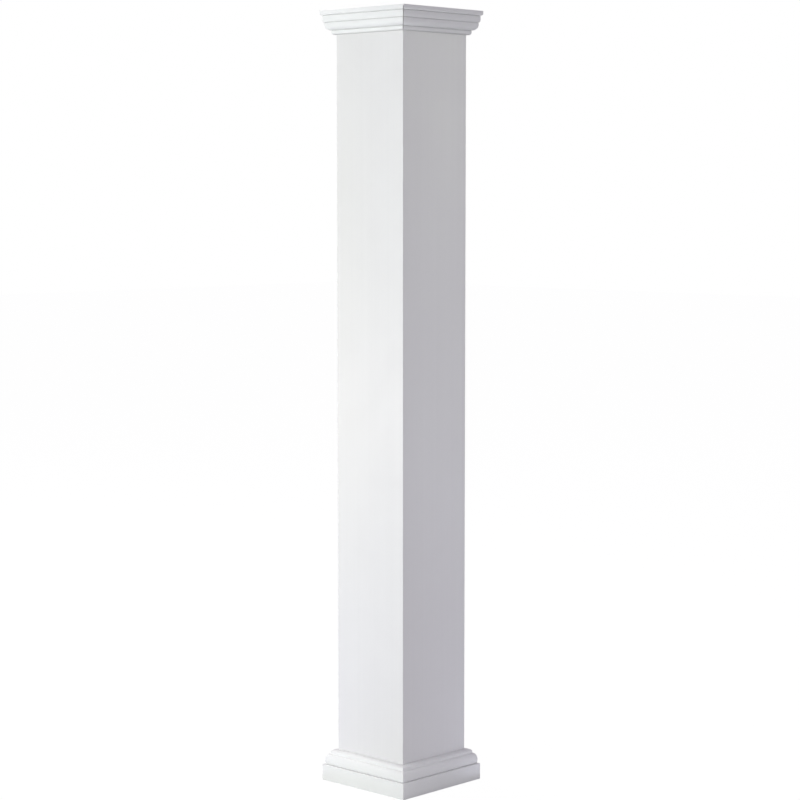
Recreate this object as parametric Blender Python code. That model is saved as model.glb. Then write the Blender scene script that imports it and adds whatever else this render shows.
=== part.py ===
"""Hollow square porch column with a mitred capital, base moulding and plinth.

Lengths are in metres and +Z is up. The origin is the middle of the column's foot.
"""

from math import cos, pi, radians, sin, sqrt

import bmesh
import bpy
from mathutils import Matrix, Vector

# Whole column
COLUMN_HEIGHT = 2.4384
FIT_GAP = 0.0003
ARC_STEPS = 6

# Shaft
SHAFT_SIDE = 0.28575
SHAFT_WALL = 0.01905
SHAFT_CORNER_RADIUS = 0.0015

# Grooves that part the members of a moulding
QUIRK_DEPTH = 0.0015
QUIRK_HEIGHT = 0.0015

# Capital, from its lowest member up, each one standing out past the one below
NECK_BEAD_PROJECTION = 0.0123
NECK_BEAD_HEIGHT = 0.0125
NECK_BEAD_RADIUS = 0.007
OVOLO_STEP = 0.0159
OVOLO_CURVE_HEIGHT = 0.0185
OVOLO_LAND = 0.0045
BAND_STEP = 0.0038
BAND_CURVE_HEIGHT = 0.010
BAND_LAND = 0.010
FILLET_STEP = 0.006
FILLET_HEIGHT = 0.009
FILLET_ROLL_HEIGHT = 0.0055

# Base moulding, from its top roll down to the torus, with a small ledge on top of the torus
ROLL_PROJECTION = 0.0183
ROLL_TOP_LAND = 0.0015
ROLL_HEIGHT = 0.0095
ROLL_LAND = 0.0052
LEDGE = 0.0015
TORUS_STEP = 0.0119
TORUS_SHOULDER_HEIGHT = 0.0218
TORUS_TOE_HEIGHT = 0.0115
TORUS_TOE_SETBACK = 0.003

# Plinth
PLINTH_PROJECTION = 0.036
PLINTH_HEIGHT = 0.0508
PLINTH_EDGE_RADIUS = 0.002

# Sides of the column, counted anticlockwise from the front, which faces -Y
SIDES = ("front", "right", "back", "left")


def arc(centre, radii, start, end):
    """Points along part of an ellipse, both ends included; angles are in degrees."""
    angles = [radians(start + (end - start) * step / ARC_STEPS) for step in range(ARC_STEPS + 1)]
    return [(centre[0] + radii[0] * cos(angle), centre[1] + radii[1] * sin(angle)) for angle in angles]


def quirk(projection, top):
    """Square groove that starts below a member and ends at the next one."""
    inner = projection - QUIRK_DEPTH
    bottom = top - QUIRK_HEIGHT
    return [(projection, top), (inner, top), (inner, bottom), (projection, bottom)]


def capital_outline():
    """Capital's outer line from head to neck, as (projection, height) points."""
    bead = NECK_BEAD_PROJECTION
    ovolo = bead + OVOLO_STEP
    band = ovolo + BAND_STEP
    fillet = band + FILLET_STEP
    fillet_bottom = COLUMN_HEIGHT - FILLET_HEIGHT
    roll_bottom = fillet_bottom - FILLET_ROLL_HEIGHT
    band_curve = roll_bottom - QUIRK_HEIGHT - BAND_LAND
    band_bottom = band_curve - BAND_CURVE_HEIGHT
    ovolo_curve = band_bottom - QUIRK_HEIGHT - OVOLO_LAND
    ovolo_bottom = ovolo_curve - OVOLO_CURVE_HEIGHT
    bead_bottom = ovolo_bottom - QUIRK_HEIGHT - NECK_BEAD_HEIGHT
    roll = (NECK_BEAD_RADIUS, NECK_BEAD_RADIUS)
    points = [(fillet, COLUMN_HEIGHT)]
    points += arc((band, fillet_bottom), (FILLET_STEP, FILLET_ROLL_HEIGHT), 0, -90)
    points += quirk(band, roll_bottom)
    points += arc((ovolo, band_curve), (BAND_STEP, BAND_CURVE_HEIGHT), 0, -90)
    points += quirk(ovolo, band_bottom)
    points += arc((bead, ovolo_curve), (OVOLO_STEP, OVOLO_CURVE_HEIGHT), 0, -90)
    points += quirk(bead, ovolo_bottom)
    points += arc((bead - NECK_BEAD_RADIUS, bead_bottom + NECK_BEAD_RADIUS), roll, 0, -90)
    return points


def base_moulding_outline():
    """Base moulding's outer line from its top edge down to the plinth."""
    torus = ROLL_PROJECTION + TORUS_STEP
    bottom = PLINTH_HEIGHT + FIT_GAP
    belly = bottom + TORUS_TOE_HEIGHT
    torus_top = belly + TORUS_SHOULDER_HEIGHT
    roll_foot = torus_top + ROLL_LAND
    roll_radii = (ROLL_PROJECTION - ROLL_TOP_LAND, ROLL_HEIGHT)
    torus_radii = (TORUS_STEP - LEDGE, TORUS_SHOULDER_HEIGHT)
    points = arc((ROLL_TOP_LAND, roll_foot), roll_radii, 90, 0)
    points.append((ROLL_PROJECTION, torus_top))
    points += arc((ROLL_PROJECTION + LEDGE, belly), torus_radii, 90, 0)
    points += arc((torus - TORUS_TOE_SETBACK, belly), (TORUS_TOE_SETBACK, TORUS_TOE_HEIGHT), 0, -90)
    return points


def plinth_outline():
    """Plinth's outer line from its eased top edge down to the floor."""
    centre = (PLINTH_PROJECTION - PLINTH_EDGE_RADIUS, PLINTH_HEIGHT - PLINTH_EDGE_RADIUS)
    points = arc(centre, (PLINTH_EDGE_RADIUS, PLINTH_EDGE_RADIUS), 90, 0)
    points.append((PLINTH_PROJECTION, 0.0))
    return points


def backed(outline):
    """Close an outer line with a flat back that clears the shaft."""
    top = outline[0][1]
    bottom = outline[-1][1]
    return outline + [(FIT_GAP, bottom), (FIT_GAP, top)]


def without_repeats(outline):
    """Drop each point that lies on the one before it, where two members meet."""
    kept = [outline[0]]
    for point in outline[1:]:
        if (Vector(point) - Vector(kept[-1])).length > FIT_GAP / 10:
            kept.append(point)
    return kept


def square_outline(half, radius):
    """Square about the origin with rounded corners, anticlockwise."""
    centre = half - radius
    points = []
    for corner in range(4):
        start = 90 * corner
        x = centre * sqrt(2) * cos(radians(start + 45))
        y = centre * sqrt(2) * sin(radians(start + 45))
        points += arc((x, y), (radius, radius), start, start + 90)
    return points


def extruded_mesh(name, outlines, depth):
    """Closed mesh of flat outlines, extruded half the depth to each side of their plane."""
    curve = bpy.data.curves.new(name, "CURVE")
    curve.dimensions = "2D"
    curve.fill_mode = "BOTH"
    curve.extrude = depth / 2
    for outline in outlines:
        spline = curve.splines.new("POLY")
        spline.points.add(len(outline) - 1)
        for point, (x, y) in zip(spline.points, outline):
            point.co = (x, y, 0, 1)
        spline.use_cyclic_u = True
    flat = bpy.data.objects.new(name, curve)
    bpy.context.scene.collection.objects.link(flat)
    depsgraph = bpy.context.evaluated_depsgraph_get()
    mesh = bpy.data.meshes.new_from_object(flat.evaluated_get(depsgraph))
    bpy.data.objects.remove(flat)
    shape = bmesh.new()
    shape.from_mesh(mesh)
    bmesh.ops.remove_doubles(shape, verts=shape.verts, dist=FIT_GAP / 10)
    bmesh.ops.recalc_face_normals(shape, faces=shape.faces)
    shape.to_mesh(mesh)
    shape.free()
    return mesh


def saw(shape, direction):
    """Cut a length at one mitre and close the end; half of the joint's gap is left free."""
    cut = bmesh.ops.bisect_plane(
        shape,
        geom=shape.verts[:] + shape.edges[:] + shape.faces[:],
        plane_co=direction * (-FIT_GAP / 2),
        plane_no=direction,
        clear_outer=True,
    )
    edges = [item for item in cut["geom_cut"] if isinstance(item, bmesh.types.BMEdge)]
    bmesh.ops.holes_fill(shape, edges=edges)


def mitred_mesh(name, outline):
    """One front length of a moulding, mitred at both ends."""
    reach = SHAFT_SIDE / 2 + max(projection for projection, height in outline)
    mesh = extruded_mesh(name, [without_repeats(backed(outline))], 2 * reach + SHAFT_WALL)
    outward = Vector((0, -1, 0))
    upward = Vector((0, 0, 1))
    place = Matrix((outward, upward, outward.cross(upward))).transposed().to_4x4()
    place.translation = outward * SHAFT_SIDE / 2
    mesh.transform(place)
    shape = bmesh.new()
    shape.from_mesh(mesh)
    saw(shape, Vector((1, 1, 0)).normalized())
    saw(shape, Vector((-1, 1, 0)).normalized())
    bmesh.ops.recalc_face_normals(shape, faces=shape.faces)
    shape.to_mesh(mesh)
    shape.free()
    return mesh


def finish(mesh, material):
    """Give a mesh its material, with curves smooth and arrises sharp."""
    mesh.materials.append(material)
    mesh.shade_smooth()
    mesh.set_sharp_from_angle(angle=radians(35))


def add_node(collection, name, mesh, turn=0.0, height=0.0):
    """Place a mesh in the collection as a node of its own."""
    node = bpy.data.objects.new(name, mesh)
    node.rotation_euler.z = turn
    node.location.z = height
    collection.objects.link(node)
    return node


def add_ring(collection, name, outline, material):
    """Run one moulding round the shaft as four mitred lengths."""
    mesh = mitred_mesh(name, outline)
    finish(mesh, material)
    for count, side in enumerate(SIDES):
        add_node(collection, f"{name}_{side}", mesh, turn=count * pi / 2)


def add_shaft(collection, material):
    """Square tube, open at both ends."""
    outer = square_outline(SHAFT_SIDE / 2, SHAFT_CORNER_RADIUS)
    inner_half = SHAFT_SIDE / 2 - SHAFT_WALL
    inner = [(x * inner_half, y * inner_half) for x, y in ((1, 1), (-1, 1), (-1, -1), (1, -1))]
    mesh = extruded_mesh("shaft", [outer, inner], COLUMN_HEIGHT)
    finish(mesh, material)
    add_node(collection, "shaft", mesh, height=COLUMN_HEIGHT / 2)


def pvc_material(name, colour, roughness):
    """White cellular PVC."""
    material = bpy.data.materials.new(name)
    material.use_nodes = True
    shader = material.node_tree.nodes["Principled BSDF"]
    shader.inputs["Base Color"].default_value = (*colour, 1.0)
    shader.inputs["Roughness"].default_value = roughness
    shader.inputs["Metallic"].default_value = 0.0
    return material


def main():
    """Clear the scene and build the column."""
    for item in list(bpy.context.scene.objects):
        bpy.data.objects.remove(item)
    collection = bpy.data.collections.new("square_column")
    bpy.context.scene.collection.children.link(collection)
    shaft_white = pvc_material("shaft_pvc", (0.81, 0.81, 0.81), 0.42)
    trim_white = pvc_material("moulding_pvc", (0.87, 0.875, 0.87), 0.5)
    add_shaft(collection, shaft_white)
    add_ring(collection, "capital", capital_outline(), trim_white)
    add_ring(collection, "base_moulding", base_moulding_outline(), trim_white)
    add_ring(collection, "plinth", plinth_outline(), trim_white)


main()
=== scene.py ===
"""Looks for a hollow square porch column: fine mouldings, white finishes and a plain studio.

Lengths are in metres and +Z is up. The front faces -Y, and the left side -X.
"""

from math import cos, pi, radians, sin

import bmesh
import bpy
from bpy.props import FloatProperty, FloatVectorProperty, IntProperty, PointerProperty
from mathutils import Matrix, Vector


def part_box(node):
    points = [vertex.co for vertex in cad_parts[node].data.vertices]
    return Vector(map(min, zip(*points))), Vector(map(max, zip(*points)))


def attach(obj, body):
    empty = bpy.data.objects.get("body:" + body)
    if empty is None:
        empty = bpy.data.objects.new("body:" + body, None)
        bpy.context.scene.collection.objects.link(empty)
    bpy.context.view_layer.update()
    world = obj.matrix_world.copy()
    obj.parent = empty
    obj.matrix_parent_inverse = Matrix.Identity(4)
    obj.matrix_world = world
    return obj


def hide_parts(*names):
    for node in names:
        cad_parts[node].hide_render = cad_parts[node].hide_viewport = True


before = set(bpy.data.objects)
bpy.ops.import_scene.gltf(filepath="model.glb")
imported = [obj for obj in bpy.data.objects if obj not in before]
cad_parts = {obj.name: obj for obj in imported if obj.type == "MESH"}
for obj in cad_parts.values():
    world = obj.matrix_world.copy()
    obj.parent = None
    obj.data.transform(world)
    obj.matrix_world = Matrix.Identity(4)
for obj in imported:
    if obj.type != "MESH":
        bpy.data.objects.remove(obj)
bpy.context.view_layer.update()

bl_info = {
    "name": "Square column",
    "version": (1, 0, 0),
    "blender": (4, 5, 0),
    "location": "3D View > Sidebar > Column",
    "description": "Models a hollow square column with mitred mouldings, and its studio",
    "category": "Object",
}

BODY = "root"

# Sides counted anticlockwise from the front
SIDES = ("front", "right", "back", "left")

# The space that each piece fills, from the frame
SHAFT_LOW, SHAFT_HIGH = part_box("shaft")
PLINTH_LOW, PLINTH_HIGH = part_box("plinth_front")
CAPITAL_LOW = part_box("capital_front")[0]
BASE_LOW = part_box("base_moulding_front")[0]
SHAFT_HALF = SHAFT_HIGH.x
COLUMN_HEIGHT = SHAFT_HIGH.z
CAPITAL_PROJECTION = -CAPITAL_LOW.y - SHAFT_HALF
BASE_PROJECTION = -BASE_LOW.y - SHAFT_HALF
PLINTH_PROJECTION = -PLINTH_LOW.y - SHAFT_HALF

# Faces count as level or upright past this share of the full normal
SQUARE_ON = 0.99
# Two outline points closer than this are one point
SAME_POINT = 0.00002
# Faces are sawn ends where their normals lean along the run past this share
SAWN_LEAN = 0.5
# Edges sharper than this are eased
SHARP_EDGE = radians(40)
# Faces that meet at less than this are shaded as one curve
SMOOTH_BEND = radians(30)
# Painted shade and dust reach this many widths of an eased edge from a groove's inner corner
SHADE_AND_DUST_REACH = 2
# Strength of every bump, whose depths are named with the finishes
BUMP_STRENGTH = 0.6
# How far each direction stretches the streaks, with the smallest number along the run
SHAFT_STRETCH = (1.0, 1.0, 0.006)
BACK_STRETCH = (1.0, 1.0, 0.004)
MOULDING_STRETCH = (0.01, 2.5, 1.0)
# Colour of the floor and the surround, as the camera sees them
PLAIN_WHITE = (1.0, 1.0, 1.0, 1.0)


def length(name, description, default):
    """A length that a user may change, in metres."""
    return FloatProperty(
        name=name,
        description=description,
        default=default,
        min=0.0,
        precision=5,
        subtype="DISTANCE",
        unit="LENGTH",
    )


def share(name, description, default):
    """A number from nothing to full."""
    return FloatProperty(
        name=name, description=description, default=default, min=0.0, max=1.0, precision=3, subtype="FACTOR"
    )


def level(name, description, default):
    """A strength with no upper limit."""
    return FloatProperty(name=name, description=description, default=default, min=0.0, precision=3)


def power(name, description, default):
    """Output of a light, in watts."""
    return FloatProperty(name=name, description=description, default=default, min=0.0, unit="POWER")


def colour(name, description, default):
    """A surface or light colour."""
    return FloatVectorProperty(
        name=name, description=description, default=default, min=0.0, max=1.0, size=3, subtype="COLOR"
    )


def place(name, description, default):
    """A point in the column's own frame."""
    return FloatVectorProperty(
        name=name, description=description, default=default, size=3, subtype="XYZ", unit="LENGTH"
    )


def extent(name, description, default):
    """Width and height of a flat light."""
    return FloatVectorProperty(name=name, description=description, default=default, size=2, unit="LENGTH")


class ShaftSettings(bpy.types.PropertyGroup):
    """Sizes of the square tube."""

    wall: length("Wall", "Thickness of the tube's wall", 0.01905)
    arris: length("Arris radius", "Rounding of the four long corners", 0.0015)
    arris_steps: IntProperty(name="Arris steps", description="Faces round each arris", default=6, min=1)


class JointSettings(bpy.types.PropertyGroup):
    """Clearances and grooves that all the mouldings share."""

    back_gap: length("Glue gap", "Gap between a moulding's back and the shaft", 0.0003)
    quirk_depth: length("Quirk depth", "Depth of the grooves between members", 0.0015)
    quirk_height: length("Quirk height", "Height of the grooves between members", 0.0015)
    open_mitre: length("Open mitre", "Hairline at the capital's corners", 0.0015)
    tight_mitre: length("Tight mitre", "Joint at the base's and the plinth's corners", 0.00006)
    ease: length("Eased edges", "Rounding of every sharp edge of a moulding", 0.00025)
    ease_steps: IntProperty(name="Ease steps", description="Faces across each eased edge", default=2, min=1)
    # The line at the capital's foot is painted shade, darkest at the foot and fading up over this height
    foot_shade: length("Foot line", "Height of the dusty line at the capital's foot", 0.004)
    curve_steps: IntProperty(
        name="Curve steps", description="Lines along each curved member", default=14, min=2
    )


class CapitalSettings(bpy.types.PropertyGroup):
    """Members of the capital, each one standing out past the one below."""

    neck: length("Neck bead", "Projection of the lowest bead", 0.0123)
    neck_roll: length("Neck roll", "Rounding of the lowest bead's lower edge", 0.007)
    ovolo: length("Ovolo step", "How far the ovolo stands out past the neck bead", 0.0159)
    ovolo_curve: length("Ovolo curve", "Height of the ovolo's round", 0.0185)
    ovolo_land: length("Ovolo land", "Upright strip above the ovolo's round", 0.0045)
    band: length("Band step", "How far the band stands out past the ovolo", 0.0038)
    band_curve: length("Band curve", "Height of the band's tucked lower part", 0.01)
    band_land: length("Band land", "Upright strip of the band", 0.01)
    fillet: length("Fillet height", "Height of the flat top member", 0.009)
    fillet_roll: length("Fillet roll", "Height of the round under the top member", 0.0055)


class BaseSettings(bpy.types.PropertyGroup):
    """Members of the base moulding."""

    roll: length("Roll", "Projection of the roll at the moulding's top", 0.0183)
    roll_top: length("Roll top", "Flat left at the moulding's top edge", 0.0015)
    roll_curve: length("Roll curve", "Height of the roll's round", 0.0095)
    roll_land: length("Roll land", "Upright strip under the roll's round", 0.0052)
    ledge: length("Ledge", "Width of the small ledge on top of the torus", 0.0015)
    shoulder: length("Torus shoulder", "Height of the torus above its widest line", 0.0218)
    toe: length("Torus toe", "Height of the torus below its widest line", 0.0115)
    toe_setback: length("Toe setback", "How far the toe draws in", 0.003)


class PlinthSettings(bpy.types.PropertyGroup):
    """Sizes of the plinth boards."""

    edge: length("Edge radius", "Rounding of the top edge", 0.002)


class FinishSettings(bpy.types.PropertyGroup):
    """Colours and wear of the white finishes."""

    shaft_white: colour("Shaft white", "Satin white of the shaft", (0.80, 0.80, 0.80))
    moulding_white: colour("Moulding white", "Matte white of the mouldings", (0.875, 0.885, 0.882))
    back_white: colour("Back white", "Bare white inside the shaft", (0.83, 0.83, 0.81))
    cut_white: colour("Cut white", "Chalky white of sawn ends", (0.83, 0.83, 0.81))
    # Grey painted in the capital's quirks and along its foot: painted shade, with some dust
    groove_shade_and_dust: colour("Groove dust", "Grey that settles in the quirks", (0.50, 0.49, 0.48))
    shaft_roughness: share("Shaft roughness", "Roughness of the satin shaft", 0.36)
    moulding_roughness: share("Moulding roughness", "Roughness of the matte mouldings", 0.55)
    back_roughness: share("Back roughness", "Roughness inside the shaft", 0.7)
    cut_roughness: share("Cut roughness", "Roughness of sawn ends", 0.9)
    shaft_shine: share("Shaft shine", "Mirror-like share of the satin shaft", 0.75)
    moulding_shine: share("Moulding shine", "Mirror-like share of the matte mouldings", 0.12)
    back_shine: share("Back shine", "Mirror-like share inside the shaft", 0.3)
    cut_shine: share("Cut shine", "Mirror-like share of sawn ends", 0.2)
    untouched: share("Untouched", "Roughness added where no hand has been", 0.03)
    rubbed: share("Rubbed", "Roughness that handling takes off", 0.04)
    streaks: share("Streaks", "Depth of the drawn lines along each length", 0.018)
    smudges: share("Smudges", "Depth of the handling marks", 0.016)
    # How strongly that grey is painted: painted shade, with some dust
    shade_and_dust: share("Dust", "How much dust lies in the quirks", 0.6)
    pores: share("Pores", "Depth of the shade in the open cells", 0.12)
    skin_depth: length("Skin depth", "Height of the fine dimples in the plastic skin", 0.00006)
    cell_depth: length("Cell depth", "Depth of the open cells on sawn ends", 0.0002)


class StudioSettings(bpy.types.PropertyGroup):
    """Camera, floor and surround, at the photograph's angle."""

    camera_place: place("Camera", "Eye point", (-5.036, -4.813, 1.862))
    camera_pitch: FloatProperty(
        name="Pitch", description="Downward tilt of the camera", default=radians(5.246), subtype="ANGLE"
    )
    camera_turn: FloatProperty(
        name="Turn", description="Camera's turn about the vertical", default=radians(-46.26), subtype="ANGLE"
    )
    lens: FloatProperty(name="Lens", description="Focal length in millimetres", default=99.57, min=1.0)
    film: FloatProperty(name="Film", description="Width of the film in millimetres", default=36.0, min=1.0)
    sky: colour("Surround", "Light that comes from all round", (0.936, 0.849, 1.0))
    sky_level: level("Surround level", "Strength of that light", 0.391)
    floor_side: length("Floor", "Side of the square floor", 60.0)
    floor_white: colour("Floor white", "How much light the floor gives back", (0.6, 0.6, 0.6))
    floor_roughness: share("Floor roughness", "Roughness of the floor", 0.9)
    floor_glow: level("Floor glow", "Level of the even white that the camera sees", 1.05)
    floor_even: share("Floor evenness", "Share of that white in what the camera sees", 0.93)


class LightSettings(bpy.types.PropertyGroup):
    """Studio lights: where each one stands, its size, its power and its tint."""

    key_place: place("Key", "Large light on the left face", (-6.0, 0.6, 1.25))
    key_size: extent("Key size", "Size of the key light", (4.0, 4.0))
    key_power: power("Key power", "Output of the key light", 279.0)
    key_tint: colour("Key tint", "Colour of the key light", (0.937, 1.0, 0.942))
    side_place: place("Side", "Narrow light along the left face from behind", (-2.2, 3.6, 1.3))
    side_size: extent("Side size", "Size of the side light", (1.2, 2.6))
    side_power: power("Side power", "Output of the side light", 8.4)
    side_tint: colour("Side tint", "Colour of the side light", (0.95, 1.0, 0.3))
    pool_place: place("Pool", "Small light that brightens the left face half-way up", (-0.643, 0.09, 1.18))
    pool_size: extent("Pool size", "Size of the small light", (0.12, 0.12))
    pool_power: power("Pool power", "Output of the small light", 0.2)
    pool_tint: colour("Pool tint", "Colour of the small light", (1.0, 0.91, 0.9))
    high_place: place("High", "Light on the ledges from high behind", (-0.2, 6.0, 7.0))
    high_size: extent("High size", "Size of the high light", (2.0, 2.0))
    high_power: power("High power", "Output of the high light", 240.0)
    high_tint: colour("High tint", "Colour of the high light", (1.0, 0.952, 0.952))
    card_place: place("Card", "White card that fills the front face", (5.6, -5.3, 1.3))
    card_size: extent("Card size", "Size of the white card", (3.6, 5.0))
    card_power: power("Card power", "Light from the white card", 107.0)
    card_tint: colour("Card tint", "Colour of the white card", (0.923, 1.0, 0.942))
    head_place: place("Head card", "Card that fills the capital's front", (3.2, -3.2, 2.5))
    head_size: extent("Head card size", "Size of the capital's card", (1.6, 0.8))
    head_power: power("Head card power", "Light from the capital's card", 5.4)
    head_tint: colour("Head card tint", "Colour of the capital's card", (0.88, 1.0, 0.56))
    low_place: place("Low card", "Card that fills the base's front", (3.2, -3.2, 0.3))
    low_size: extent("Low card size", "Size of the base's card", (1.6, 0.5))
    low_power: power("Low card power", "Light from the base's card", 5.5)
    low_tint: colour("Low card tint", "Colour of the base's card", (0.848, 0.879, 1.0))
    floor_place: place("Floor card", "Card that lies on the floor before the front face", (1.0, -1.1, 0.01))
    floor_size: extent("Floor card size", "Size of the floor card", (1.8, 1.8))
    floor_power: power("Floor card power", "Light from the floor card", 3.6)
    floor_tint: colour("Floor card tint", "Colour of the floor card", (0.77, 0.8, 1.0))
    foot_place: place("Foot card", "Small card on the floor, right before the plinth", (0.05, -0.435, 0.002))
    foot_size: extent("Foot card size", "Size of the small card", (0.5, 0.5))
    foot_power: power("Foot card power", "Light from the small card", 0.075)
    foot_tint: colour("Foot card tint", "Colour of the small card", (1.0, 0.98, 1.0))
    left_place: place("Left card", "Card that lies on the floor before the left face", (-1.7, 1.8, 0.01))
    left_size: extent("Left card size", "Size of the left card", (3.2, 3.2))
    left_power: power("Left card power", "Light from the left card", 13.2)
    left_tint: colour("Left card tint", "Colour of the left card", (0.606, 0.576, 1.0))


def deselect():
    """Clear the selection, which loading the frame leaves full."""
    if bpy.context.object and bpy.context.object.mode != "OBJECT":
        bpy.ops.object.mode_set(mode="OBJECT")
    bpy.ops.object.select_all(action="DESELECT")


def select_only(wanted, kind="FACE"):
    """In edit mode, select just the faces, or else the edges, that the test accepts."""
    bpy.ops.mesh.select_mode(type=kind)
    bpy.ops.mesh.select_all(action="DESELECT")
    mesh = bpy.context.object.data
    shape = bmesh.from_edit_mesh(mesh)
    for item in shape.faces if kind == "FACE" else shape.edges:
        item.select_set(bool(wanted(item)))
    bmesh.update_edit_mesh(mesh)


def upright(edge):
    """Whether an edge runs straight up."""
    run = edge.verts[1].co - edge.verts[0].co
    return abs(run.z) > SQUARE_ON * run.length


def paint_selected(piece, material):
    """Give the selected faces a material of their own slot."""
    piece.data.materials.append(material)
    piece.active_material_index = len(piece.data.materials) - 1
    bpy.ops.object.material_slot_assign()


def settle(piece, node):
    """Hand a finished piece to the frame."""
    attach(piece, BODY)
    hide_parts(node)


def arc(centre, radii, start, end, steps):
    """Points along part of an ellipse, both ends included; angles are in degrees."""
    angles = [radians(start + (end - start) * step / steps) for step in range(steps + 1)]
    return [(centre[0] + radii[0] * cos(angle), centre[1] + radii[1] * sin(angle)) for angle in angles]


def quirk(projection, top, joints):
    """Square groove that starts below a member and ends at the next one."""
    inner = projection - joints.quirk_depth
    bottom = top - joints.quirk_height
    return [(projection, top), (inner, top), (inner, bottom), (projection, bottom)]


def capital_outline(sizes, joints):
    """Capital's outer line from head to neck, as (projection, height) points."""
    steps = joints.curve_steps
    ovolo = sizes.neck + sizes.ovolo
    band = ovolo + sizes.band
    fillet_bottom = COLUMN_HEIGHT - sizes.fillet
    roll_bottom = fillet_bottom - sizes.fillet_roll
    band_curve = roll_bottom - joints.quirk_height - sizes.band_land
    band_bottom = band_curve - sizes.band_curve
    ovolo_curve = band_bottom - joints.quirk_height - sizes.ovolo_land
    ovolo_bottom = ovolo_curve - sizes.ovolo_curve
    neck_roll = (sizes.neck_roll, sizes.neck_roll)
    neck_centre = (sizes.neck - sizes.neck_roll, CAPITAL_LOW.z + sizes.neck_roll)
    points = [(CAPITAL_PROJECTION, COLUMN_HEIGHT)]
    points += arc((band, fillet_bottom), (CAPITAL_PROJECTION - band, sizes.fillet_roll), 0, -90, steps)
    points += quirk(band, roll_bottom, joints)
    points += arc((ovolo, band_curve), (sizes.band, sizes.band_curve), 0, -90, steps)
    points += quirk(ovolo, band_bottom, joints)
    points += arc((sizes.neck, ovolo_curve), (sizes.ovolo, sizes.ovolo_curve), 0, -90, steps)
    points += quirk(sizes.neck, ovolo_bottom, joints)
    points += arc(neck_centre, neck_roll, 0, -90, steps)
    return points


def base_outline(sizes, joints):
    """Base moulding's outer line from its top edge down to the plinth."""
    steps = joints.curve_steps
    belly = BASE_LOW.z + sizes.toe
    torus_top = belly + sizes.shoulder
    torus_in = sizes.roll + sizes.ledge
    toe_centre = (BASE_PROJECTION - sizes.toe_setback, belly)
    roll_radii = (sizes.roll - sizes.roll_top, sizes.roll_curve)
    points = arc((sizes.roll_top, torus_top + sizes.roll_land), roll_radii, 90, 0, steps)
    points.append((sizes.roll, torus_top))
    points += arc((torus_in, belly), (BASE_PROJECTION - torus_in, sizes.shoulder), 90, 0, steps)
    points += arc(toe_centre, (sizes.toe_setback, sizes.toe), 0, -90, steps)
    return points


def plinth_outline(sizes, joints):
    """Plinth's outer line from its eased top edge down to the floor."""
    centre = (PLINTH_PROJECTION - sizes.edge, PLINTH_HIGH.z - sizes.edge)
    points = arc(centre, (sizes.edge, sizes.edge), 90, 0, joints.curve_steps)
    points.append((PLINTH_PROJECTION, PLINTH_LOW.z))
    return points


def backed(outline, gap):
    """Close an outer line with a flat back, leaving out points that repeat."""
    closed = outline + [(gap, outline[-1][1]), (gap, outline[0][1])]
    kept = [closed[0]]
    for point in closed[1:]:
        if (Vector(point) - Vector(kept[-1])).length > SAME_POINT:
            kept.append(point)
    return kept


def draw_section(name, outline, joint):
    """Draw an outline on a front length's left mitre, one extruded point after another, and fill it."""
    setback = joint * cos(pi / 4)
    depths = [(SHAFT_HALF + projection, height) for projection, height in outline]
    spots = [Vector((setback - depth, -depth, height)) for depth, height in depths]
    deselect()
    bpy.ops.mesh.primitive_plane_add(size=SAME_POINT, location=spots[0])
    section = bpy.context.object
    section.name = name
    bpy.ops.object.transform_apply(location=True, rotation=False, scale=False)
    bpy.ops.object.mode_set(mode="EDIT")
    bpy.ops.mesh.select_mode(type="VERT")
    bpy.ops.mesh.merge(type="CENTER")
    for before, after in zip(spots, spots[1:]):
        bpy.ops.mesh.extrude_vertices_move(TRANSFORM_OT_translate={"value": after - before})
    bpy.ops.mesh.select_all(action="SELECT")
    bpy.ops.mesh.edge_face_add()
    return section


def ease_edges(piece, joints):
    """Round off the sharp edges, as sanding does."""
    bpy.ops.object.modifier_add(type="BEVEL")
    bevel = piece.modifiers[-1]
    bevel.width = joints.ease
    bevel.segments = joints.ease_steps
    bevel.limit_method = "ANGLE"
    bevel.angle_limit = SHARP_EDGE
    bevel.miter_outer = "MITER_ARC"
    bpy.ops.object.modifier_apply(modifier=bevel.name)


def groove_floors(outline, joints):
    """Inner corners of the quirks in an outline."""
    points = [Vector(point) for point in outline]
    floors = []
    for before, point, after in zip(points, points[1:], points[2:]):
        level_in = abs(point.y - before.y) < SAME_POINT and before.x - point.x > joints.quirk_depth / 2
        level_out = abs(point.y - after.y) < SAME_POINT and after.x - point.x > joints.quirk_depth / 2
        if level_in or level_out:
            floors.append(point)
    return floors


def mark_grooves(piece, outline, joints):
    """Store where grey is painted: shade and dust in the quirks, and painted shade fading up from the
    moulding's foot.
    """
    floors = groove_floors(outline, joints)
    foot = min(height for projection, height in outline)
    reach = SHADE_AND_DUST_REACH * joints.ease
    marks = piece.data.attributes.new("groove", "FLOAT", "POINT")
    for vertex in piece.data.vertices:
        spot = Vector((-vertex.co.y - SHAFT_HALF, vertex.co.z))
        inside = any((spot - floor).length < reach for floor in floors)
        # Painted shade fades up from the foot, outside the quirks
        fade = max(0.0, 1.0 - (spot.y - foot) / joints.foot_shade)
        marks.data[vertex.index].value = 1.0 if inside else fade


def map_run(piece):
    """Lay a map whose first direction runs along the length and whose second crosses the moulding."""
    layer = piece.data.uv_layers.new(name="run")
    for loop in piece.data.loops:
        spot = piece.data.vertices[loop.vertex_index].co
        layer.data[loop.index].uv = (spot.x, spot.z - spot.y)


def shift_run(piece, distance):
    """Move a copy's map along, so that no two lengths have the same marks."""
    for loop in piece.data.uv_layers["run"].data:
        loop.uv.x += distance


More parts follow.
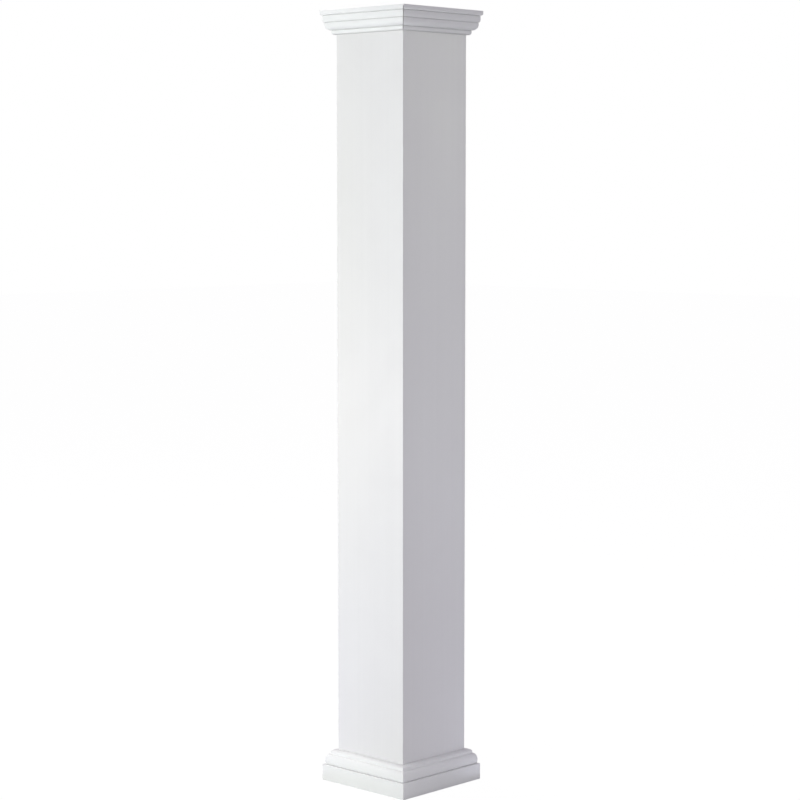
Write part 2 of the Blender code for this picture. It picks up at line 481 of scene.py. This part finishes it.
def model_length(name, outline, joint, joints, materials, shaded_and_dusty):
    """Model the front length of a moulding, from the section on its left mitre to the right one."""
    section = backed(outline, joints.back_gap)
    piece = draw_section(name, section, joint)
    bpy.ops.mesh.select_all(action="SELECT")
    bpy.ops.mesh.extrude_region_move()
    bpy.ops.transform.resize(value=(-1.0, 1.0, 1.0), center_override=(0.0, 0.0, 0.0))
    bpy.ops.mesh.select_all(action="SELECT")
    bpy.ops.mesh.remove_doubles(threshold=SAME_POINT / 2)
    bpy.ops.mesh.normals_make_consistent(inside=False)
    surface, cut = materials
    piece.data.materials.append(surface)
    select_only(lambda face: abs(face.normal.x) > SAWN_LEAN)
    paint_selected(piece, cut)
    bpy.ops.object.mode_set(mode="OBJECT")
    ease_edges(piece, joints)
    bpy.ops.object.shade_smooth_by_angle(angle=SMOOTH_BEND)
    # Only the capital gets grey painted in its quirks and at its foot, as shade and dust
    if shaded_and_dusty:
        mark_grooves(piece, section, joints)
    map_run(piece)
    return piece


def run_round(piece, name):
    """Copy a front length to the other three sides and return all four."""
    lengths = [piece]
    for count, side in enumerate(SIDES[1:], start=1):
        deselect()
        piece.select_set(True)
        bpy.context.view_layer.objects.active = piece
        bpy.ops.object.duplicate(linked=False)
        copy = bpy.context.object
        copy.name = f"{name}_{side}"
        copy.rotation_euler.z = count * pi / 2
        bpy.ops.object.transform_apply(location=False, rotation=True, scale=False)
        shift_run(copy, count * COLUMN_HEIGHT)
        lengths.append(copy)
    return lengths


def model_ring(name, node, outline, joint, shaded_and_dusty=False):
    """Model one moulding round the shaft as four mitred lengths."""
    scene = bpy.context.scene
    materials = (moulding_material(scene.column_finish), sawn_material(scene.column_finish))
    piece = model_length(f"{name}_{SIDES[0]}", outline, joint, scene.column_joints, materials, shaded_and_dusty)
    for side, copy in zip(SIDES, run_round(piece, name)):
        settle(copy, f"{node}_{side}")


def model_shaft(sizes, finish):
    """Model the square tube from a block that is bored through and eased."""
    deselect()
    bpy.ops.mesh.primitive_cube_add(size=1.0, location=(SHAFT_LOW + SHAFT_HIGH) / 2)
    piece = bpy.context.object
    piece.name = "column_shaft"
    piece.scale = SHAFT_HIGH - SHAFT_LOW
    bpy.ops.object.transform_apply(location=True, rotation=False, scale=True)
    piece.data.materials.append(shaft_material(finish))
    bpy.ops.object.mode_set(mode="EDIT")
    select_only(lambda face: abs(face.normal.z) > SQUARE_ON)
    bpy.ops.mesh.inset(thickness=sizes.wall, use_individual=True)
    bpy.ops.mesh.bridge_edge_loops()
    bpy.ops.mesh.select_all(action="SELECT")
    bpy.ops.mesh.normals_make_consistent(inside=False)
    near_outside = SHAFT_HALF - sizes.wall / 2
    select_only(lambda edge: upright(edge) and abs(edge.verts[0].co.x) > near_outside, "EDGE")
    bpy.ops.mesh.bevel(offset=sizes.arris, segments=sizes.arris_steps, affect="EDGES")
    bore = SHAFT_HALF - sizes.wall
    select_only(lambda face: max(abs(v.co.x) for v in face.verts) < bore + SAME_POINT)
    paint_selected(piece, board_back_material(finish))
    select_only(lambda face: abs(face.normal.z) > SQUARE_ON)
    paint_selected(piece, sawn_material(finish))
    bpy.ops.object.mode_set(mode="OBJECT")
    bpy.ops.object.shade_smooth_by_angle(angle=SMOOTH_BEND)
    return piece


def add_shader_node(tree, kind, options=None, **inputs):
    """Add a shader node, set its options and the values of its inputs."""
    made = tree.nodes.new(kind)
    for option, value in (options or {}).items():
        setattr(made, option, value)
    for socket, value in inputs.items():
        made.inputs[socket.replace("_", " ")].default_value = value
    return made


def new_group(name, inputs, outputs):
    """Start a node group and return it with its ends; a socket is (name, kind, default)."""
    group = bpy.data.node_groups.new(name, "ShaderNodeTree")
    for socket, kind, default in inputs:
        made = group.interface.new_socket(name=socket, in_out="INPUT", socket_type=kind)
        if default is not None:
            made.default_value = default
    for socket, kind in outputs:
        group.interface.new_socket(name=socket, in_out="OUTPUT", socket_type=kind)
    return group, group.nodes.new("NodeGroupInput"), group.nodes.new("NodeGroupOutput")


def drawn_streaks_group():
    """Soft lines that a die leaves along an extruded length; X and Y of the vector cross the run."""
    name = "Drawn streaks"
    if name in bpy.data.node_groups:
        return bpy.data.node_groups[name]
    group, start, end = new_group(
        name,
        [("Vector", "NodeSocketVector", None), ("Lines per metre", "NodeSocketFloat", 70.0)],
        [("Mask", "NodeSocketFloat")],
    )
    scaled = add_shader_node(group, "ShaderNodeVectorMath", {"operation": "SCALE"})
    noise = add_shader_node(group, "ShaderNodeTexNoise", Scale=1.0, Detail=3.0, Roughness=0.55)
    spread = add_shader_node(group, "ShaderNodeMapRange", {"clamp": True}, From_Min=0.3, From_Max=0.7)
    group.links.new(start.outputs["Vector"], scaled.inputs[0])
    group.links.new(start.outputs["Lines per metre"], scaled.inputs["Scale"])
    group.links.new(scaled.outputs["Vector"], noise.inputs["Vector"])
    group.links.new(noise.outputs["Fac"], spread.inputs["Value"])
    group.links.new(spread.outputs["Result"], end.inputs["Mask"])
    return group


def handling_group():
    """Broad faint marks of handling, and the places where they are rubbed shinier."""
    name = "Handling marks"
    if name in bpy.data.node_groups:
        return bpy.data.node_groups[name]
    group, start, end = new_group(
        name,
        [("Vector", "NodeSocketVector", None), ("Marks per metre", "NodeSocketFloat", 6.0)],
        [("Mask", "NodeSocketFloat")],
    )
    noise = add_shader_node(
        group, "ShaderNodeTexNoise", Scale=1.0, Detail=5.0, Roughness=0.6, Distortion=0.6
    )
    spread = add_shader_node(group, "ShaderNodeMapRange", {"clamp": True}, From_Min=0.42, From_Max=0.75)
    group.links.new(start.outputs["Vector"], noise.inputs["Vector"])
    group.links.new(start.outputs["Marks per metre"], noise.inputs["Scale"])
    group.links.new(noise.outputs["Fac"], spread.inputs["Value"])
    group.links.new(spread.outputs["Result"], end.inputs["Mask"])
    return group


def tone_group():
    """Darken a colour by two masks, each with its own depth."""
    name = "Tone"
    if name in bpy.data.node_groups:
        return bpy.data.node_groups[name]
    group, start, end = new_group(
        name,
        [
            ("Color", "NodeSocketColor", (0.8, 0.8, 0.8, 1.0)),
            ("Streaks", "NodeSocketFloat", 0.0),
            ("Streak depth", "NodeSocketFloat", 0.01),
            ("Marks", "NodeSocketFloat", 0.0),
            ("Mark depth", "NodeSocketFloat", 0.01),
        ],
        [("Color", "NodeSocketColor")],
    )
    streak = add_shader_node(group, "ShaderNodeMath", {"operation": "MULTIPLY"})
    mark = add_shader_node(group, "ShaderNodeMath", {"operation": "MULTIPLY_ADD"})
    left = add_shader_node(group, "ShaderNodeMath", {"operation": "SUBTRACT"})
    left.inputs[0].default_value = 1.0
    darker = add_shader_node(group, "ShaderNodeVectorMath", {"operation": "SCALE"})
    group.links.new(start.outputs["Streaks"], streak.inputs[0])
    group.links.new(start.outputs["Streak depth"], streak.inputs[1])
    group.links.new(start.outputs["Marks"], mark.inputs[0])
    group.links.new(start.outputs["Mark depth"], mark.inputs[1])
    group.links.new(streak.outputs["Value"], mark.inputs[2])
    group.links.new(mark.outputs["Value"], left.inputs[1])
    group.links.new(start.outputs["Color"], darker.inputs[0])
    group.links.new(left.outputs["Value"], darker.inputs["Scale"])
    group.links.new(darker.outputs["Vector"], end.inputs["Color"])
    return group


def skin_group():
    """Fine rise and fall of a moulded plastic skin."""
    name = "Plastic skin"
    if name in bpy.data.node_groups:
        return bpy.data.node_groups[name]
    group, start, end = new_group(
        name,
        [
            ("Vector", "NodeSocketVector", None),
            ("Dimples per metre", "NodeSocketFloat", 420.0),
            ("Streaks", "NodeSocketFloat", 0.0),
            ("Streak share", "NodeSocketFloat", 0.35),
        ],
        [("Height", "NodeSocketFloat")],
    )
    noise = add_shader_node(group, "ShaderNodeTexNoise", Scale=1.0, Detail=2.0, Roughness=0.5)
    blend = add_shader_node(group, "ShaderNodeMix", {"data_type": "FLOAT"})
    group.links.new(start.outputs["Vector"], noise.inputs["Vector"])
    group.links.new(start.outputs["Dimples per metre"], noise.inputs["Scale"])
    group.links.new(start.outputs["Streak share"], blend.inputs["Factor"])
    group.links.new(noise.outputs["Fac"], blend.inputs["A"])
    group.links.new(start.outputs["Streaks"], blend.inputs["B"])
    group.links.new(blend.outputs["Result"], end.inputs["Height"])
    return group


def cell_group():
    """Open cells and saw lines of cut foam plastic."""
    name = "Cut cells"
    if name in bpy.data.node_groups:
        return bpy.data.node_groups[name]
    group, start, end = new_group(
        name,
        [
            ("Vector", "NodeSocketVector", None),
            ("Cells per metre", "NodeSocketFloat", 1400.0),
            ("Saw lines per metre", "NodeSocketFloat", 160.0),
        ],
        [("Height", "NodeSocketFloat"), ("Pores", "NodeSocketFloat")],
    )
    cells = add_shader_node(group, "ShaderNodeTexVoronoi")
    pores = add_shader_node(group, "ShaderNodeMapRange", {"clamp": True}, From_Min=0.15, From_Max=0.55)
    saw = add_shader_node(group, "ShaderNodeTexWave", {"wave_type": "RINGS"}, Distortion=1.5, Detail=1.0)
    blend = add_shader_node(group, "ShaderNodeMix", {"data_type": "FLOAT"}, Factor=0.3)
    group.links.new(start.outputs["Vector"], cells.inputs["Vector"])
    group.links.new(start.outputs["Cells per metre"], cells.inputs["Scale"])
    group.links.new(cells.outputs["Distance"], pores.inputs["Value"])
    group.links.new(start.outputs["Vector"], saw.inputs["Vector"])
    group.links.new(start.outputs["Saw lines per metre"], saw.inputs["Scale"])
    group.links.new(pores.outputs["Result"], blend.inputs["A"])
    group.links.new(saw.outputs["Fac"], blend.inputs["B"])
    group.links.new(blend.outputs["Result"], end.inputs["Height"])
    group.links.new(pores.outputs["Result"], end.inputs["Pores"])
    return group


def place_group(tree, group, **inputs):
    """Put a node group in a material, with its own values."""
    made = tree.nodes.new("ShaderNodeGroup")
    made.node_tree = group
    for socket, value in inputs.items():
        made.inputs[socket.replace("_", " ")].default_value = value
    return made


def new_material(name):
    """Start a material; return it with its tree and its shader."""
    material = bpy.data.materials.new(name)
    material.use_nodes = True
    tree = material.node_tree
    return material, tree, tree.nodes["Principled BSDF"]


def rough_between(tree, mask, shader, bare, masked):
    """Let a mask carry the roughness from one value to another."""
    blend = add_shader_node(tree, "ShaderNodeMapRange", To_Min=bare, To_Max=masked)
    tree.links.new(mask, blend.inputs["Value"])
    tree.links.new(blend.outputs["Result"], shader.inputs["Roughness"])


def bump_from(tree, height, shader, depth):
    """Raise the surface by a height that varies over it."""
    bump = add_shader_node(tree, "ShaderNodeBump", Strength=BUMP_STRENGTH, Distance=depth)
    tree.links.new(height, bump.inputs["Height"])
    tree.links.new(bump.outputs["Normal"], shader.inputs["Normal"])


def white_plastic(name, kind, finish, source, stretch):
    """White PVC of one kind, with streaks along its run; returns material, tree, shader and tone."""
    traits = [getattr(finish, f"{kind}_{trait}") for trait in ("white", "roughness", "shine")]
    white, roughness, shine = traits
    material, tree, shader = new_material(name)
    where = tree.nodes.new("ShaderNodeTexCoord")
    run = add_shader_node(tree, "ShaderNodeMapping", Scale=stretch)
    streaks = place_group(tree, drawn_streaks_group())
    marks = place_group(tree, handling_group())
    skin = place_group(tree, skin_group())
    depths = {"Streak_depth": finish.streaks, "Mark_depth": finish.smudges}
    tone = place_group(tree, tone_group(), Color=(*white, 1.0), **depths)
    tree.links.new(where.outputs[source], run.inputs["Vector"])
    tree.links.new(run.outputs["Vector"], streaks.inputs["Vector"])
    tree.links.new(where.outputs["Object"], marks.inputs["Vector"])
    tree.links.new(where.outputs["Object"], skin.inputs["Vector"])
    tree.links.new(streaks.outputs["Mask"], skin.inputs["Streaks"])
    tree.links.new(streaks.outputs["Mask"], tone.inputs["Streaks"])
    tree.links.new(marks.outputs["Mask"], tone.inputs["Marks"])
    tree.links.new(tone.outputs["Color"], shader.inputs["Base Color"])
    untouched = roughness + finish.untouched
    rubbed = roughness - finish.rubbed
    rough_between(tree, marks.outputs["Mask"], shader, untouched, rubbed)
    bump_from(tree, skin.outputs["Height"], shader, finish.skin_depth)
    shader.inputs["Specular IOR Level"].default_value = shine
    return material, tree, shader, tone


def shaft_material(finish):
    """Satin white of the shaft, with streaks that run up it."""
    name = "Shaft satin white"
    if name in bpy.data.materials:
        return bpy.data.materials[name]
    return white_plastic(name, "shaft", finish, "Object", SHAFT_STRETCH)[0]


def moulding_material(finish):
    """Matte white of the mouldings, with streaks along each length, and grey painted into the quirks and
    along the capital's foot as shade and dust.
    """
    name = "Moulding matte white"
    if name in bpy.data.materials:
        return bpy.data.materials[name]
    material, tree, shader, tone = white_plastic(name, "moulding", finish, "UV", MOULDING_STRETCH)
    # Grey painted where the groove attribute says: shade and dust in the quirks, painted shade at the
    # capital's foot
    groove = add_shader_node(tree, "ShaderNodeAttribute", {"attribute_name": "groove"})
    depth = add_shader_node(tree, "ShaderNodeMath", {"operation": "MULTIPLY"})
    depth.inputs[1].default_value = finish.shade_and_dust
    shaded_and_dusty = add_shader_node(tree, "ShaderNodeMix", {"data_type": "RGBA"})
    shaded_and_dusty.inputs["B"].default_value = (*finish.groove_shade_and_dust, 1.0)
    tree.links.new(groove.outputs["Fac"], depth.inputs[0])
    tree.links.new(depth.outputs["Value"], shaded_and_dusty.inputs["Factor"])
    tree.links.new(tone.outputs["Color"], shaded_and_dusty.inputs["A"])
    tree.links.new(shaded_and_dusty.outputs["Result"], shader.inputs["Base Color"])
    return material


def sawn_material(finish):
    """Chalky foam plastic where a length was sawn."""
    name = "Sawn foam white"
    if name in bpy.data.materials:
        return bpy.data.materials[name]
    material, tree, shader = new_material(name)
    where = tree.nodes.new("ShaderNodeTexCoord")
    cells = place_group(tree, cell_group())
    tone = place_group(tree, tone_group(), Color=(*finish.cut_white, 1.0), Streak_depth=finish.pores)
    tree.links.new(where.outputs["Object"], cells.inputs["Vector"])
    tree.links.new(cells.outputs["Pores"], tone.inputs["Streaks"])
    tree.links.new(tone.outputs["Color"], shader.inputs["Base Color"])
    bump_from(tree, cells.outputs["Height"], shader, finish.cell_depth)
    shader.inputs["Roughness"].default_value = finish.cut_roughness
    shader.inputs["Specular IOR Level"].default_value = finish.cut_shine
    return material


def board_back_material(finish):
    """Plain unpainted back of the board, inside the shaft."""
    name = "Board back white"
    if name in bpy.data.materials:
        return bpy.data.materials[name]
    return white_plastic(name, "back", finish, "Object", BACK_STRETCH)[0]


def look_from(spot, target):
    """Turn that points a light or camera from one place at another."""
    return (Vector(target) - Vector(spot)).to_track_quat("-Z", "Y").to_euler()


def add_softbox(lights, name, target):
    """A flat studio light that the camera doesn't see, aimed at a point."""
    spot = Vector(getattr(lights, f"{name}_place"))
    deselect()
    bpy.ops.object.light_add(type="AREA", location=spot, rotation=look_from(spot, target))
    lamp = bpy.context.object
    lamp.name = f"{name}_light"
    lamp.data.shape = "RECTANGLE"
    lamp.data.size, lamp.data.size_y = getattr(lights, f"{name}_size")
    lamp.data.energy = getattr(lights, f"{name}_power")
    lamp.data.color = getattr(lights, f"{name}_tint")
    lamp.visible_camera = False


def add_floor(studio):
    """Pale floor, far wider than the view, which the camera sees as an even white."""
    deselect()
    bpy.ops.mesh.primitive_plane_add(size=studio.floor_side, location=(0, 0, SHAFT_LOW.z))
    floor = bpy.context.object
    floor.name = "studio_floor"
    material, tree, shader = new_material("Studio floor")
    shader.inputs["Base Color"].default_value = (*studio.floor_white, 1.0)
    shader.inputs["Roughness"].default_value = studio.floor_roughness
    glow = add_shader_node(tree, "ShaderNodeEmission", Color=PLAIN_WHITE, Strength=studio.floor_glow)
    seen = tree.nodes.new("ShaderNodeLightPath")
    even = add_shader_node(tree, "ShaderNodeMath", {"operation": "MULTIPLY"})
    even.inputs[1].default_value = studio.floor_even
    blend = tree.nodes.new("ShaderNodeMixShader")
    output = tree.nodes["Material Output"]
    tree.links.new(seen.outputs["Is Camera Ray"], even.inputs[0])
    tree.links.new(even.outputs["Value"], blend.inputs["Fac"])
    tree.links.new(shader.outputs["BSDF"], blend.inputs[1])
    tree.links.new(glow.outputs["Emission"], blend.inputs[2])
    tree.links.new(blend.outputs["Shader"], output.inputs["Surface"])
    floor.data.materials.append(material)


def set_surround(studio):
    """Even light from all round, which the camera sees as plain white."""
    world = bpy.data.worlds.new("Studio surround")
    world.use_nodes = True
    bpy.context.scene.world = world
    tree = world.node_tree
    light = tree.nodes["Background"]
    light.inputs["Color"].default_value = (*studio.sky, 1.0)
    light.inputs["Strength"].default_value = studio.sky_level
    white = add_shader_node(tree, "ShaderNodeBackground", Color=PLAIN_WHITE, Strength=1.0)
    seen = tree.nodes.new("ShaderNodeLightPath")
    blend = tree.nodes.new("ShaderNodeMixShader")
    tree.links.new(seen.outputs["Is Camera Ray"], blend.inputs["Fac"])
    tree.links.new(light.outputs["Background"], blend.inputs[1])
    tree.links.new(white.outputs["Background"], blend.inputs[2])
    tree.links.new(blend.outputs["Shader"], tree.nodes["World Output"].inputs["Surface"])


def add_lights(lights):
    """Aim each light: at the column's middle, level at a face, at head or foot, or straight up."""
    middle = Vector((0.0, 0.0, COLUMN_HEIGHT / 2))
    for name in ("key", "side", "high", "card"):
        add_softbox(lights, name, middle)
    add_softbox(lights, "pool", Vector(lights.pool_place) + Vector((1.0, 0.0, 0.0)))
    add_softbox(lights, "head", Vector((0.0, 0.0, COLUMN_HEIGHT)))
    add_softbox(lights, "low", Vector((0.0, 0.0, lights.low_place[2])))
    for name in ("floor", "foot", "left"):
        add_softbox(lights, name, Vector(getattr(lights, f"{name}_place")) + Vector((0.0, 0.0, 1.0)))


def add_camera(studio):
    """Camera at the photograph's angle."""
    deselect()
    turn = (pi / 2 - studio.camera_pitch, 0.0, studio.camera_turn)
    bpy.ops.object.camera_add(location=studio.camera_place, rotation=turn)
    camera = bpy.context.object
    camera.name = "photo_camera"
    camera.data.lens = studio.lens
    camera.data.sensor_width = studio.film
    camera.data.clip_end = 2 * studio.floor_side
    bpy.context.scene.camera = camera


class COLUMN_OT_shaft(bpy.types.Operator):
    """Model the hollow square shaft"""

    bl_idname = "column.shaft"
    bl_label = "Shaft"

    def execute(self, context):
        scene = context.scene
        piece = model_shaft(scene.column_shaft, scene.column_finish)
        settle(piece, "shaft")
        return {"FINISHED"}


class COLUMN_OT_capital(bpy.types.Operator):
    """Model the four lengths of the capital"""

    bl_idname = "column.capital"
    bl_label = "Capital"

    def execute(self, context):
        scene = context.scene
        outline = capital_outline(scene.column_capital, scene.column_joints)
        model_ring("capital_length", "capital", outline, scene.column_joints.open_mitre, shaded_and_dusty=True)
        return {"FINISHED"}


class COLUMN_OT_base(bpy.types.Operator):
    """Model the four lengths of the base moulding"""

    bl_idname = "column.base"
    bl_label = "Base moulding"

    def execute(self, context):
        scene = context.scene
        outline = base_outline(scene.column_base, scene.column_joints)
        model_ring("base_length", "base_moulding", outline, scene.column_joints.tight_mitre)
        return {"FINISHED"}


class COLUMN_OT_plinth(bpy.types.Operator):
    """Model the four plinth boards"""

    bl_idname = "column.plinth"
    bl_label = "Plinth"

    def execute(self, context):
        scene = context.scene
        outline = plinth_outline(scene.column_plinth, scene.column_joints)
        model_ring("plinth_board", "plinth", outline, scene.column_joints.tight_mitre)
        return {"FINISHED"}


class COLUMN_OT_studio(bpy.types.Operator):
    """Set up the floor, the lights and the camera"""

    bl_idname = "column.studio"
    bl_label = "Studio"

    def execute(self, context):
        studio = context.scene.column_studio
        add_floor(studio)
        set_surround(studio)
        add_lights(context.scene.column_lights)
        add_camera(studio)
        context.scene.view_settings.view_transform = "Standard"
        return {"FINISHED"}


OPERATORS = (COLUMN_OT_shaft, COLUMN_OT_capital, COLUMN_OT_base, COLUMN_OT_plinth, COLUMN_OT_studio)

SETTINGS = {
    "column_shaft": ShaftSettings,
    "column_joints": JointSettings,
    "column_capital": CapitalSettings,
    "column_base": BaseSettings,
    "column_plinth": PlinthSettings,
    "column_finish": FinishSettings,
    "column_studio": StudioSettings,
    "column_lights": LightSettings,
}


class COLUMN_PT_panel(bpy.types.Panel):
    """Lists the column's steps and sizes"""

    bl_idname = "COLUMN_PT_panel"
    bl_label = "Square column"
    bl_space_type = "VIEW_3D"
    bl_region_type = "UI"
    bl_category = "Column"

    def draw(self, context):
        for operator in OPERATORS:
            self.layout.operator(operator.bl_idname)
        for name, kind in SETTINGS.items():
            box = self.layout.box()
            box.label(text=kind.__doc__)
            for size in kind.__annotations__:
                box.prop(getattr(context.scene, name), size)


def register():
    """Register the settings, the operators and the panel."""
    for name, kind in SETTINGS.items():
        bpy.utils.register_class(kind)
        setattr(bpy.types.Scene, name, PointerProperty(type=kind))
    for kind in (*OPERATORS, COLUMN_PT_panel):
        bpy.utils.register_class(kind)


def unregister():
    """Undo what register did."""
    for kind in (COLUMN_PT_panel, *reversed(OPERATORS)):
        bpy.utils.unregister_class(kind)
    for name, kind in SETTINGS.items():
        delattr(bpy.types.Scene, name)
        bpy.utils.unregister_class(kind)


def main():
    """Build every piece and the studio."""
    register()
    bpy.ops.column.shaft()
    bpy.ops.column.capital()
    bpy.ops.column.base()
    bpy.ops.column.plinth()
    bpy.ops.column.studio()


if __name__ == "__main__":
    main()
